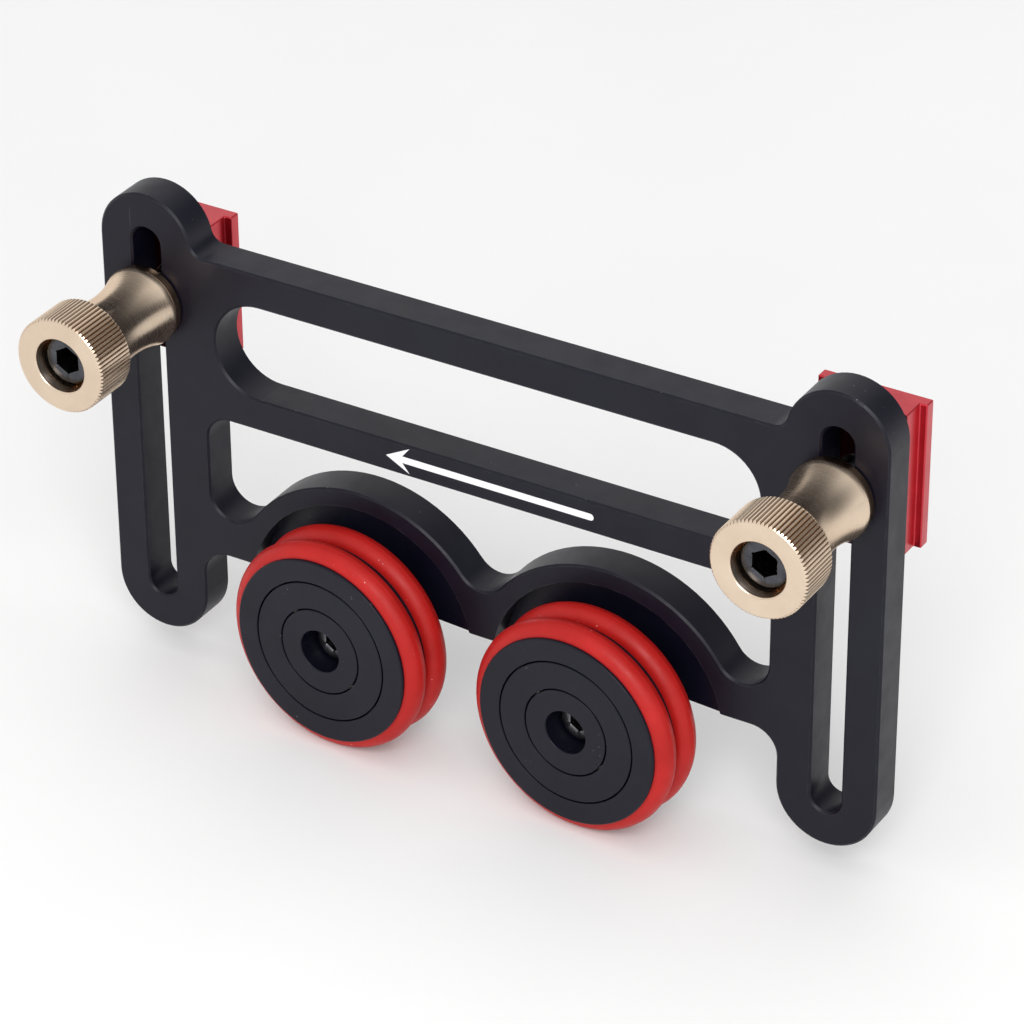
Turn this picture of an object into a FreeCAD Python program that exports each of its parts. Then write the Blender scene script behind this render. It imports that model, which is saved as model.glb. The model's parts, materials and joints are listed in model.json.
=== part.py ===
import FreeCAD, Part
import math
import os

# Roller stock guide for a machine fence: a slotted plate that stands on the fence's face, two toed-in wheels
# that turn one way only and press the work down and back, and two knurled knobs that draw track blocks into
# a T-track. Millimetres. +X runs along the fence, +Y into the fence, +Z up. The origin is on the plate's back
# face, at the middle of its middle bar. "out" is a distance in front of the plate's front face.

V = FreeCAD.Vector
SIDES = {"left": -1, "right": 1}

# plate
PLATE_LENGTH = 170.0
PLATE_THICKNESS = 8.0
LEG_WIDTH = 21.0
SLOT_WIDTH = 6.5
SLOT_TOP = 30.9
SLOT_BOTTOM = -45.5
MIDDLE_BAR_HEIGHT = 6.9
WINDOW_HEIGHT = 20.1
WINDOW_HALF_LENGTH = 59.3
WEB_BOTTOM = -34.7
FRAME_RIM = 2.1
VALLEY_RADIUS = 5.5
CORNER_RADIUS = 5.0
NECK_FILLET = 3.0
EDGE_BREAK = 0.4
ARROW_DEPTH = 0.15
ARROW_TIP = -20.9
ARROW_TAIL = 23.9
ARROW_HEAD_LENGTH = 5.4
ARROW_NOTCH = 1.7
ARROW_HEAD_HALF = 2.85
ARROW_SHAFT_HALF = 0.75

# axles and pockets
AXLE_X = 27.4
AXLE_Z = -39.5
TOE_IN = 4.0
ARCH_RADIUS = 29.5
ARCH_DROP = 0.7
POCKET_RADIUS = 25.1
POCKET_DEPTH = 2.8
LOBE_RADIUS = 12.0
LOBE_FILLET = 4.0
AXLE_SCREW = 5.0
AXLE_SCREW_LENGTH = 11.5
AXLE_HEAD = 8.5
AXLE_HEX = 4.0
AXLE_HEAD_SEAT = 4.0
AXLE_BORE = 9.0

# wheel
HUB_RADIUS = 19.7
HUB_FRONT = 13.6
HUB_BACK = 0.0
HUB_LIP = 1.0
TYRE_SECTION = 5.3
TYRE_RADIUS = 22.2
TYRE_SPACING = 6.8
COVER_RADIUS = 15.0
COVER_THICKNESS = 2.0
CAP_RADIUS = 9.0
RING_GAP = 0.3
SEAM_GAP = 0.02
SEAM_BREAK = 0.25
SLEEVE_RADIUS = 6.0
RACE_RADIUS = 8.0
CLUTCH_RADIUS = 13.0
CLUTCH_WALL = 1.4
CLUTCH_WIDTH = 10.0
CLUTCH_BACK = 1.0
ROLLER_COUNT = 10
ROLLER_LENGTH = 7.6
CAGE_WALL = 1.2
CAGE_RIM = 0.7
CAGE_GAP = 0.3
ROLLER_WINDOW_GAP = 0.1
SPACER_RADIUS = 8.6
RUNNING_GAP = 0.05

# clamps
CLAMP_HEIGHT = {"left": 18.3, "right": 20.4}
CLAMP_SCREW = 6.0
CLAMP_SCREW_LENGTH = 35.0
CLAMP_HEAD = 10.0
CLAMP_HEX = 5.0
KNOB_LENGTH = 29.4
KNOB_HEAD_RADIUS = 9.8
KNOB_HEAD_LENGTH = 9.7
KNOB_EDGE = 0.55
KNOB_RIM_RADIUS = 8.2
KNOB_WAIST_RADIUS = 6.75
KNOB_BORE = 11.0
KNOB_BORE_DEPTH = 8.5
KNURL_COUNT = 76
KNURL_DEPTH = 0.38
KNURL_LAND = 0.02
WASHER_RADIUS = 7.9
WASHER_THICKNESS = 2.1
WASHER_BORE = 6.4
SLIDING_GAP = 0.15
BLOCK_HEIGHT = 30.0
NECK_WIDTH = 19.0
NECK_DEPTH = 5.0
FLANGE_WIDTH = 22.0
FLANGE_DEPTH = 2.6
BLOCK_FILLET = 0.8
BLOCK_EDGE = 0.35
INSERT_RADIUS = 4.0
INSERT_INSET = 0.3

# edges and cutting allowances
RING_EDGE = 0.3
SMALL_EDGE = 0.2
SCREW_EDGE_SHARE = 0.06
CUT_OVERRUN = 1.0
NEAR = 0.01

# worked out from the driving dimensions
FRONT_Y = -PLATE_THICKNESS
SLOT_X = (PLATE_LENGTH - LEG_WIDTH) / 2
LEG_INNER_X = SLOT_X - LEG_WIDTH / 2
OPENING_X = LEG_INNER_X - FRAME_RIM
BAR_TOP = MIDDLE_BAR_HEIGHT / 2
BAR_BOTTOM = -MIDDLE_BAR_HEIGHT / 2
HUB_MIDDLE = (HUB_FRONT + HUB_BACK) / 2
TYRE_RING_RADIUS = TYRE_RADIUS - TYRE_SECTION / 2
COVER_BACK = HUB_FRONT - COVER_THICKNESS
CLUTCH_FRONT = CLUTCH_BACK + CLUTCH_WIDTH
CLUTCH_MIDDLE = CLUTCH_BACK + CLUTCH_WIDTH / 2
ROLLER_RING_RADIUS = (RACE_RADIUS + CLUTCH_RADIUS - CLUTCH_WALL) / 2
ROLLER_RADIUS = (CLUTCH_RADIUS - CLUTCH_WALL - RACE_RADIUS) / 2 - RUNNING_GAP
KNOB_BASE = WASHER_THICKNESS + 2 * SLIDING_GAP
SCREW_SEAT = KNOB_LENGTH - KNOB_BORE_DEPTH
BLOCK_DEPTH = NECK_DEPTH + FLANGE_DEPTH
BACK_OUT = -PLATE_THICKNESS


def turned(profile):
    """Solid turned about the Y axis from a closed outline of (radius, out) points."""
    points = [V(radius, -out, 0) for radius, out in profile]
    outline = Part.makePolygon(points + points[:1])
    return Part.Face(outline).revolve(V(0, 0, 0), V(0, 1, 0), 360)


def disc(radius, out_back, out_front):
    return Part.makeCylinder(radius, out_front - out_back, V(0, -out_back, 0), V(0, -1, 0))


def ring(outer, inner, out_back, out_front, edge):
    """Plain ring, with its outer edges broken by a small chamfer."""
    return turned([
        (inner, out_back),
        (outer - edge, out_back),
        (outer, out_back + edge),
        (outer, out_front - edge),
        (outer - edge, out_front),
        (inner, out_front),
    ])


def on_axle(shape, side):
    """Carry a wheel part from its own axis to its toed-in axle on the plate."""
    placed = shape.copy()
    placed.rotate(V(0, 0, 0), V(0, 0, 1), -TOE_IN)
    placed.translate(V(SIDES[side] * AXLE_X, FRONT_Y, AXLE_Z))
    return placed


def on_clamp(shape, side):
    """Carry a clamp part from its own axis to its slot."""
    placed = shape.copy()
    placed.translate(V(SIDES[side] * SLOT_X, FRONT_Y, CLAMP_HEIGHT[side]))
    return placed


def stadium(start, end, radius):
    """Round-ended bar through the plate, between two (x, z) centres that share an x or a z."""
    ends = [Part.makeCylinder(radius, PLATE_THICKNESS, V(x, FRONT_Y, z), V(0, 1, 0)) for x, z in (start, end)]
    if start[0] == end[0]:
        corners = [(start[0] - radius, start[1]), (start[0] + radius, start[1]),
                   (end[0] + radius, end[1]), (end[0] - radius, end[1])]
    else:
        corners = [(start[0], start[1] - radius), (start[0], start[1] + radius),
                   (end[0], end[1] + radius), (end[0], end[1] - radius)]
    points = [V(x, 0, z) for x, z in corners]
    middle = Part.Face(Part.makePolygon(points + points[:1])).extrude(V(0, FRONT_Y, 0))
    return ends[0].fuse([ends[1], middle]).removeSplitter()


def arc(centre, radius, start, end):
    """Arc in the plate's back plane about an (x, z) centre, from one angle to another in degrees."""
    def at(angle):
        turn = math.radians(angle)
        return V(centre[0] + radius * math.cos(turn), 0, centre[1] + radius * math.sin(turn))
    return Part.Arc(at(start), at((start + end) / 2), at(end)).toShape()


def bearing_angle(centre, towards):
    return math.degrees(math.atan2(towards[1] - centre[1], towards[0] - centre[0]))


def lower_opening():
    """The opening under the middle bar: two arches, with a round valley between them and at each side."""
    arch = (AXLE_X, AXLE_Z - ARCH_DROP)
    reach = ARCH_RADIUS + VALLEY_RADIUS
    centre_valley = (0, arch[1] + math.sqrt(reach ** 2 - arch[0] ** 2))
    side_x = OPENING_X - VALLEY_RADIUS
    side_valley = (side_x, arch[1] + math.sqrt(reach ** 2 - (side_x - arch[0]) ** 2))
    corner = (OPENING_X - CORNER_RADIUS, BAR_BOTTOM - CORNER_RADIUS)
    half = [
        arc(centre_valley, VALLEY_RADIUS, -90, bearing_angle(centre_valley, arch)),
        arc(arch, ARCH_RADIUS, bearing_angle(arch, centre_valley), bearing_angle(arch, side_valley)),
        arc(side_valley, VALLEY_RADIUS, bearing_angle(side_valley, arch), 0),
        Part.makeLine(V(OPENING_X, 0, side_valley[1]), V(OPENING_X, 0, corner[1])),
        arc(corner, CORNER_RADIUS, 0, 90),
        Part.makeLine(V(corner[0], 0, BAR_BOTTOM), V(0, 0, BAR_BOTTOM)),
    ]
    mirrored = [edge.mirror(V(0, 0, 0), V(1, 0, 0)) for edge in half]
    outline = Part.Wire(Part.__sortEdges__(half + mirrored))
    return Part.Face(outline).extrude(V(0, FRONT_Y, 0))


def edges_through(shape, places):
    """Edges that run straight through the plate at the given (x, z) places."""
    def is_at(edge, place):
        return all(math.hypot(v.X - place[0], v.Z - place[1]) < NEAR for v in edge.Vertexes)
    return [edge for edge in shape.Edges if any(is_at(edge, place) for place in places)]


def face_edges(shape):
    """Edges that lie in the plate's front or back plane."""
    def lies_flat(edge):
        box = edge.BoundBox
        return box.YLength < NEAR and min(abs(box.YMin), abs(box.YMin - FRONT_Y)) < NEAR
    return [edge for edge in shape.Edges if lies_flat(edge)]


def feed_arrow():
    """Shallow arrow that shows the feed direction, cut into the middle bar."""
    head_back = ARROW_TIP + ARROW_HEAD_LENGTH
    notch = head_back - ARROW_NOTCH
    head = [(ARROW_TIP, 0), (head_back, ARROW_HEAD_HALF)]
    upper = head + [(notch, ARROW_SHAFT_HALF), (ARROW_TAIL, ARROW_SHAFT_HALF)]
    lower = [(x, -z) for x, z in reversed(upper[1:])]
    points = [V(x, FRONT_Y, z) for x, z in upper + lower]
    blade = Part.Face(Part.makePolygon(points + points[:1])).extrude(V(0, ARROW_DEPTH, 0))
    tail = Part.makeCylinder(ARROW_SHAFT_HALF, ARROW_DEPTH, V(ARROW_TAIL, FRONT_Y, 0), V(0, 1, 0))
    return blade.fuse(tail)


def guide_plate():
    body = Part.makeBox(2 * SLOT_X, PLATE_THICKNESS, SLOT_TOP - WEB_BOTTOM, V(-SLOT_X, FRONT_Y, WEB_BOTTOM))
    for side in SIDES.values():
        x = side * SLOT_X
        body = body.fuse(stadium((x, SLOT_BOTTOM), (x, SLOT_TOP), LEG_WIDTH / 2))
        lobe = Part.makeCylinder(LOBE_RADIUS, PLATE_THICKNESS, V(side * AXLE_X, FRONT_Y, AXLE_Z), V(0, 1, 0))
        body = body.fuse(lobe)
    body = body.removeSplitter()
    feet = [(side * LEG_INNER_X, WEB_BOTTOM) for side in SIDES.values()]
    body = body.makeFillet(VALLEY_RADIUS, edges_through(body, feet))
    reach = math.sqrt(LOBE_RADIUS ** 2 - (WEB_BOTTOM - AXLE_Z) ** 2)
    roots = [(side * AXLE_X + way * reach, WEB_BOTTOM) for side in SIDES.values() for way in (-1, 1)]
    body = body.makeFillet(LOBE_FILLET, edges_through(body, roots))
    shoulders = [(side * LEG_INNER_X, SLOT_TOP) for side in SIDES.values()]
    body = body.makeFillet(NECK_FILLET, edges_through(body, shoulders))
    for side in SIDES.values():
        x = side * SLOT_X
        body = body.cut(stadium((x, SLOT_BOTTOM), (x, SLOT_TOP), SLOT_WIDTH / 2))
    window_z = BAR_TOP + WINDOW_HEIGHT / 2
    window_x = WINDOW_HALF_LENGTH - WINDOW_HEIGHT / 2
    body = body.cut(stadium((-window_x, window_z), (window_x, window_z), WINDOW_HEIGHT / 2))
    body = body.cut(lower_opening())
    body = body.makeChamfer(EDGE_BREAK, face_edges(body))
    for side in SIDES:
        body = body.cut(on_axle(disc(POCKET_RADIUS, -POCKET_DEPTH, POCKET_RADIUS), side))
        body = body.cut(on_axle(disc(AXLE_SCREW / 2 + RUNNING_GAP, BACK_OUT - CUT_OVERRUN, 0), side))
    return body.cut(feed_arrow())


def hub():
    """Wheel body, bored for the clutch and recessed for the cover ring, with a seat for each tyre."""
    lip = CLUTCH_RADIUS - HUB_LIP
    blank = turned([
        (lip, HUB_BACK),
        (HUB_RADIUS - SEAM_BREAK, HUB_BACK),
        (HUB_RADIUS, HUB_BACK + SEAM_BREAK),
        (HUB_RADIUS, HUB_FRONT - SEAM_BREAK),
        (HUB_RADIUS - SEAM_BREAK, HUB_FRONT),
        (COVER_RADIUS + SEAM_BREAK, HUB_FRONT),
        (COVER_RADIUS, HUB_FRONT - SEAM_BREAK),
        (COVER_RADIUS, COVER_BACK),
        (CLUTCH_RADIUS, COVER_BACK),
        (CLUTCH_RADIUS, CLUTCH_BACK),
        (lip, CLUTCH_BACK),
    ])
    for out in tyre_outs():
        blank = blank.cut(tyre(out))
    return blank


def tyre_outs():
    return [HUB_MIDDLE + TYRE_SPACING / 2, HUB_MIDDLE - TYRE_SPACING / 2]


def tyre(out):
    return Part.makeTorus(TYRE_RING_RADIUS, TYRE_SECTION / 2, V(0, -out, 0), V(0, 1, 0))


def cover_ring():
    outer = COVER_RADIUS - SEAM_GAP
    inner = CAP_RADIUS + RING_GAP
    return turned([
        (inner, COVER_BACK),
        (outer, COVER_BACK),
        (outer, HUB_FRONT - SEAM_BREAK),
        (outer - SEAM_BREAK, HUB_FRONT),
        (inner + SEAM_BREAK, HUB_FRONT),
        (inner, HUB_FRONT - SEAM_BREAK),
    ])


def axle_sleeve():
    """Fixed sleeve whose front cap is level with the wheel's face, hides the clutch and sinks the screw."""
    bore = AXLE_BORE / 2
    screw_hole = AXLE_SCREW / 2 + RUNNING_GAP
    return turned([
        (screw_hole, -POCKET_DEPTH),
        (SLEEVE_RADIUS, -POCKET_DEPTH),
        (SLEEVE_RADIUS, CLUTCH_FRONT),
        (RACE_RADIUS, CLUTCH_FRONT),
        (RACE_RADIUS, COVER_BACK),
        (CAP_RADIUS, COVER_BACK),
        (CAP_RADIUS, HUB_FRONT - SEAM_BREAK),
        (CAP_RADIUS - SEAM_BREAK, HUB_FRONT),
        (bore + SEAM_BREAK, HUB_FRONT),
        (bore, HUB_FRONT - SEAM_BREAK),
        (bore, AXLE_HEAD_SEAT),
        (screw_hole, AXLE_HEAD_SEAT),
    ])


def socket_screw(thread, length, head, hexagon, seat):
    """Socket head cap screw whose head rests at "seat" and points out; its thread is a plain shank."""
    edge = SCREW_EDGE_SHARE * head
    socket_mouth = hexagon / math.sqrt(3)
    top = seat + thread
    blank = turned([
        (0, seat - length),
        (thread / 2 - edge, seat - length),
        (thread / 2, seat - length + edge),
        (thread / 2, seat),
        (head / 2, seat),
        (head / 2, top - edge),
        (head / 2 - edge, top),
        (0, top),
    ])
    turns = [math.radians(60 * i) for i in range(6)]
    corners = [V(socket_mouth * math.cos(turn), -top, socket_mouth * math.sin(turn)) for turn in turns]
    socket = Part.Face(Part.makePolygon(corners + corners[:1])).extrude(V(0, thread / 2, 0))
    return blank.cut(socket)


def clutch_race(outer, inner):
    return ring(outer, inner, CLUTCH_BACK, CLUTCH_FRONT, RING_EDGE)


def clutch_rollers():
    rollers = []
    for i in range(ROLLER_COUNT):
        roller = disc(ROLLER_RADIUS, CLUTCH_MIDDLE - ROLLER_LENGTH / 2, CLUTCH_MIDDLE + ROLLER_LENGTH / 2)
        roller.translate(V(ROLLER_RING_RADIUS, 0, 0))
        roller.rotate(V(0, 0, 0), V(0, 1, 0), 360 / ROLLER_COUNT * i)
        rollers.append(roller)
    return Part.makeCompound(rollers)


def clutch_cage():
    """Ring that spaces the rollers, with one window for each."""
    outer = ROLLER_RING_RADIUS + CAGE_WALL / 2
    back = CLUTCH_BACK + CAGE_GAP
    front = CLUTCH_FRONT - CAGE_GAP
    cage = ring(outer, outer - CAGE_WALL, back, front, SMALL_EDGE)
    for i in range(ROLLER_COUNT):
        window = disc(ROLLER_RADIUS + ROLLER_WINDOW_GAP, back + CAGE_RIM, front - CAGE_RIM)
        window.translate(V(ROLLER_RING_RADIUS, 0, 0))
        window.rotate(V(0, 0, 0), V(0, 1, 0), 360 / ROLLER_COUNT * i)
        cage = cage.cut(window)
    return cage


def knurled_prism(out_back, out_front):
    """Star-shaped prism that cuts a straight knurl into whatever it meets."""
    points = []
    for i in range(2 * KNURL_COUNT):
        radius = KNOB_HEAD_RADIUS + KNURL_LAND - (KNURL_DEPTH if i % 2 else 0)
        turn = math.pi * i / KNURL_COUNT
        points.append(V(radius * math.cos(turn), -out_back, radius * math.sin(turn)))
    return Part.Face(Part.makePolygon(points + points[:1])).extrude(V(0, out_back - out_front, 0))


def knob():
    """Knurled head, waisted body and flat foot, counterbored for the clamp screw."""
    head_back = KNOB_LENGTH - KNOB_HEAD_LENGTH
    head = turned([
        (0, head_back),
        (KNOB_HEAD_RADIUS - KNOB_EDGE, head_back),
        (KNOB_HEAD_RADIUS, head_back + KNOB_EDGE),
        (KNOB_HEAD_RADIUS, KNOB_LENGTH - KNOB_EDGE),
        (KNOB_HEAD_RADIUS - KNOB_EDGE, KNOB_LENGTH),
        (0, KNOB_LENGTH),
    ])
    head = head.common(knurled_prism(head_back, KNOB_LENGTH))
    waist_middle = (KNOB_BASE + head_back) / 2
    waist = Part.Arc(V(KNOB_RIM_RADIUS, -KNOB_BASE - SEAM_BREAK, 0), V(KNOB_WAIST_RADIUS, -waist_middle, 0),
                     V(KNOB_RIM_RADIUS, -head_back, 0)).toShape()
    rest = Part.makePolygon([V(KNOB_RIM_RADIUS, -head_back, 0), V(0, -head_back, 0), V(0, -KNOB_BASE, 0),
                             V(KNOB_RIM_RADIUS - SEAM_BREAK, -KNOB_BASE, 0),
                             V(KNOB_RIM_RADIUS, -KNOB_BASE - SEAM_BREAK, 0)])
    outline = Part.Wire(Part.__sortEdges__([waist] + rest.Edges))
    body = Part.Face(outline).revolve(V(0, 0, 0), V(0, 1, 0), 360)
    mouth = Part.makeCone(KNOB_BORE / 2, KNOB_BORE / 2 + KNOB_EDGE, KNOB_EDGE,
                          V(0, KNOB_EDGE - KNOB_LENGTH, 0), V(0, -1, 0))
    solid = head.fuse(body)
    solid = solid.cut(disc(KNOB_BORE / 2, SCREW_SEAT, KNOB_LENGTH + CUT_OVERRUN))
    solid = solid.cut(disc(CLAMP_SCREW / 2 + RUNNING_GAP, 0, KNOB_LENGTH))
    return solid.cut(mouth)


def knob_washer():
    return ring(WASHER_RADIUS, WASHER_BORE / 2, SLIDING_GAP, SLIDING_GAP + WASHER_THICKNESS, RING_EDGE)


def block_section():
    """T-shaped outline of the track block, neck towards the plate and flange behind it."""
    neck = NECK_WIDTH / 2
    flange = FLANGE_WIDTH / 2
    front = SLIDING_GAP
    lip = front + NECK_DEPTH
    back = front + BLOCK_DEPTH
    half = [(neck, front), (neck, lip), (flange, lip), (flange, back)]
    points = [V(x, y, 0) for x, y in half] + [V(-x, y, 0) for x, y in reversed(half)]
    return Part.Face(Part.makePolygon(points + points[:1]))


def track_block():
    start = V(0, PLATE_THICKNESS, -BLOCK_HEIGHT / 2)
    section = block_section()
    section.translate(start)
    block = section.extrude(V(0, 0, BLOCK_HEIGHT))
    upright = [edge for edge in block.Edges if edge.BoundBox.ZLength > BLOCK_HEIGHT / 2]
    inner = [edge for edge in upright if is_inner_corner(edge)]
    block = block.makeFillet(BLOCK_FILLET, inner)
    sharp = [edge for edge in block.Edges if is_flange_corner(edge)]
    block = block.makeChamfer(BLOCK_EDGE, sharp)
    return block.cut(disc(INSERT_RADIUS + RUNNING_GAP, BACK_OUT - BLOCK_DEPTH - CUT_OVERRUN, 0))


def is_inner_corner(edge):
    box = edge.BoundBox
    lip_y = PLATE_THICKNESS + SLIDING_GAP + NECK_DEPTH
    return abs(abs(box.XMin) - NECK_WIDTH / 2) < NEAR and abs(box.YMin - lip_y) < NEAR


def is_flange_corner(edge):
    box = edge.BoundBox
    return box.ZLength > BLOCK_HEIGHT / 2 and abs(abs(box.XMin) - FLANGE_WIDTH / 2) < NEAR


def thread_insert():
    back = PLATE_THICKNESS + SLIDING_GAP + BLOCK_DEPTH - INSERT_INSET
    front = PLATE_THICKNESS + SLIDING_GAP + INSERT_INSET
    return ring(INSERT_RADIUS, CLAMP_SCREW / 2 + RUNNING_GAP, -back, -front, SMALL_EDGE)


def wheel_parts():
    """Every node of one wheel on its own axis; the tyres are named front to back."""
    front_out, rear_out = tyre_outs()
    return {
        "wheel_hub": hub(),
        "front_tyre": tyre(front_out),
        "rear_tyre": tyre(rear_out),
        "cover_ring": cover_ring(),
        "clutch_outer_race": clutch_race(CLUTCH_RADIUS, CLUTCH_RADIUS - CLUTCH_WALL),
        "clutch_inner_race": clutch_race(RACE_RADIUS, SLEEVE_RADIUS),
        "clutch_cage": clutch_cage(),
        "clutch_rollers": clutch_rollers(),
        "axle_sleeve": axle_sleeve(),
        "axle_screw": socket_screw(AXLE_SCREW, AXLE_SCREW_LENGTH, AXLE_HEAD, AXLE_HEX, AXLE_HEAD_SEAT),
        "rear_spacer": ring(SPACER_RADIUS, SLEEVE_RADIUS, -POCKET_DEPTH, CLUTCH_BACK, SMALL_EDGE),
    }


def clamp_parts():
    """Every node of one clamp on its own axis."""
    return {
        "clamp_knob": knob(),
        "clamp_screw": socket_screw(CLAMP_SCREW, CLAMP_SCREW_LENGTH, CLAMP_HEAD, CLAMP_HEX, SCREW_SEAT),
        "knob_washer": knob_washer(),
        "track_block": track_block(),
        "thread_insert": thread_insert(),
    }


def write_parts():
    os.makedirs("parts", exist_ok=True)
    nodes = {"guide_plate": guide_plate()}
    for side in SIDES:
        for name, shape in wheel_parts().items():
            nodes[name + "_" + side] = on_axle(shape, side)
        for name, shape in clamp_parts().items():
            nodes[name + "_" + side] = on_clamp(shape, side)
    for name, shape in nodes.items():
        shape.exportStep("parts/" + name + ".step")
        box = shape.BoundBox
        print(name, shape.isValid(), len(shape.Solids), round(shape.Volume, 1),
              [round(v, 2) for v in (box.XMin, box.YMin, box.ZMin, box.XMax, box.YMax, box.ZMax)])


write_parts()
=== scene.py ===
# %% Load the frame
import json
import math

import bmesh
import bpy
from mathutils import Matrix, Quaternion, Vector


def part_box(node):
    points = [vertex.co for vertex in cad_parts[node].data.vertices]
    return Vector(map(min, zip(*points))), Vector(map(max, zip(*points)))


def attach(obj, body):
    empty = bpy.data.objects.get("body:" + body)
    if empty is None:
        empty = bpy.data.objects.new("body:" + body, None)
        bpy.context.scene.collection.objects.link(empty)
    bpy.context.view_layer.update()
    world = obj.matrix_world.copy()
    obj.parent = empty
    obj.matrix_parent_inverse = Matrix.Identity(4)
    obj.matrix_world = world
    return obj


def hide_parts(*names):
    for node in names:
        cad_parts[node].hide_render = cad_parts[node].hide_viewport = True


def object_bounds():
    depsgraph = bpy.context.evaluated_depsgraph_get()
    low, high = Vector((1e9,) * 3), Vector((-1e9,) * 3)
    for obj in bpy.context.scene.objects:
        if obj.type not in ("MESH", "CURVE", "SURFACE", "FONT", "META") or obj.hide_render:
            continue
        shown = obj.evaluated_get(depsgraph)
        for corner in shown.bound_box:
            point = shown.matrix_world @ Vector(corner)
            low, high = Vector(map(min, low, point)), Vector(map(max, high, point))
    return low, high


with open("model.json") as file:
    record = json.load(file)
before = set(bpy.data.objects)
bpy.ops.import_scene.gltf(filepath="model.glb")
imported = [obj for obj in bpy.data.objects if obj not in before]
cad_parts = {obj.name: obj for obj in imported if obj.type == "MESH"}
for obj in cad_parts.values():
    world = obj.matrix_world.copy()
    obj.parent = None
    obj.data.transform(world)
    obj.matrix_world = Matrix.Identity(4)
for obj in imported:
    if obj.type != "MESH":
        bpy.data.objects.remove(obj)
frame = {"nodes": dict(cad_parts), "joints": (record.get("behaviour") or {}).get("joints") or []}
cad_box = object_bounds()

MM = 0.001
SIDES = ("left", "right")
joints = {joint["name"]: joint for joint in frame["joints"]}
nodes = frame["nodes"]

# %% [markdown]
# ## What this is, and how the lesson goes
# A roller stock guide clamps to a machine's fence. Two toed-in wheels roll on the work, and press it down and
# back. Two knurled knobs hold the plate at its height, by drawing T-shaped blocks forward in the fence's track.
#
# The CAD parts hold every size and every movement. They are loaded above and stay where they are. This lesson
# measures them, turns finer pieces about the same axes, and finishes every surface.

# %% [markdown]
# ## Measuring a turned part
# Most pieces here came off a lathe, so two lengths describe any point on them: its radius from the axis, and how
# far out along the axis it lies. A joint's axis is also its part's turning axis, so the joint gives the line to
# measure from. "Out" is counted from the plate's front face, away from the fence.

# %% Measure a CAD node about a joint
def measure(node, joint):
    """Smallest radius, largest radius, lowest out and highest out of a CAD node about a joint's axis."""
    centre = Vector(joint["pos_m"])
    axis = Vector(joint["axis"]).normalized()
    outs = []
    radii = []
    for vert in nodes[node].data.vertices:
        arm = vert.co - centre
        out = arm.dot(axis)
        outs.append(out)
        radii.append((arm - axis * out).length)
    return min(radii), max(radii), min(outs), max(outs)


plate_front = joints["left_knob_turn"]["pos_m"][1]
for name in ("wheel_hub_left", "front_tyre_left", "cover_ring_left", "axle_sleeve_left"):
    sizes = measure(name, joints["left_wheel_spin"])
    in_mm = [round(size / MM, 2) for size in sizes]
    print(name, "radius", in_mm[:2], "out", in_mm[2:])

# %% [markdown]
# ## Turning on the lathe
# A turned part is one outline carried round an axis. It could be stacked from cylinders and cones, but then every
# edge would be knife-sharp and every step a separate ring. Here the outline is drawn once, each corner is rounded
# by its own amount, and spin carries it round. Real edges are never perfectly sharp: the small rounding is what
# catches the light and makes metal look like metal.
#
# Each point also remembers its radius and its out in an attribute called "turned". The tool marks of a lathe run
# along circles, so the finishes draw them from that attribute, and it works however the part is later turned.

# %% The lathe
TURN_STEPS = 144
ROUND_STEPS = 3


def lathe(outline, closed=True, steps=TURN_STEPS):
    """Round a (radius, out, rounding) outline at its corners and spin it about the out axis."""
    shape = bmesh.new()
    corners = [shape.verts.new((radius, -out, 0)) for radius, out, rounding in outline]
    followers = corners[1:] + corners[:1] if closed else corners[1:]
    for corner, follower in zip(corners, followers):
        shape.edges.new((corner, follower))
    for corner, (radius, out, rounding) in zip(corners, outline):
        if rounding:
            bmesh.ops.bevel(shape, geom=[corner], offset=rounding, offset_type="OFFSET", affect="VERTICES",
                            segments=ROUND_STEPS, profile=0.5, material=-1)
    bmesh.ops.spin(shape, geom=shape.verts[:] + shape.edges[:], cent=(0, 0, 0), axis=(0, 1, 0),
                   angle=math.tau, steps=steps, use_merge=True, use_duplicate=False)
    mark_turning(shape)
    return shape


def mark_turning(shape):
    """Store each point's radius and out, for finishes that follow the tool marks."""
    turned = shape.verts.layers.float_vector.get("turned") or shape.verts.layers.float_vector.new("turned")
    for vert in shape.verts:
        vert[turned] = (math.hypot(vert.co.x, vert.co.z), 0, -vert.co.y)


def set_on(shape, joint):
    """Carry a shape from the out axis to a joint's own axis and place."""
    turn = Vector((0, -1, 0)).rotation_difference(Vector(joint["axis"]))
    place = Matrix.Translation(joint["pos_m"]) @ turn.to_matrix().to_4x4()
    bmesh.ops.transform(shape, matrix=place, verts=shape.verts)


# %% [markdown]
# ## Finishing a piece
# Every piece is closed the same way. Points that fell together are merged, faces are turned outwards, and edges
# sharper than a chamfer are kept crisp while everything else is shaded smoothly. The piece then rides on the CAD
# body that carries it, so that it moves with its joint, and the plain CAD part it stands for is hidden.

# %% Make a shape into a piece
SHARP_ANGLE = math.radians(32)
MERGE_DISTANCE = 0.002 * MM


def verts_in(grown):
    """The points among what an extrusion made."""
    return [item for item in grown if isinstance(item, bmesh.types.BMVert)]


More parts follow.
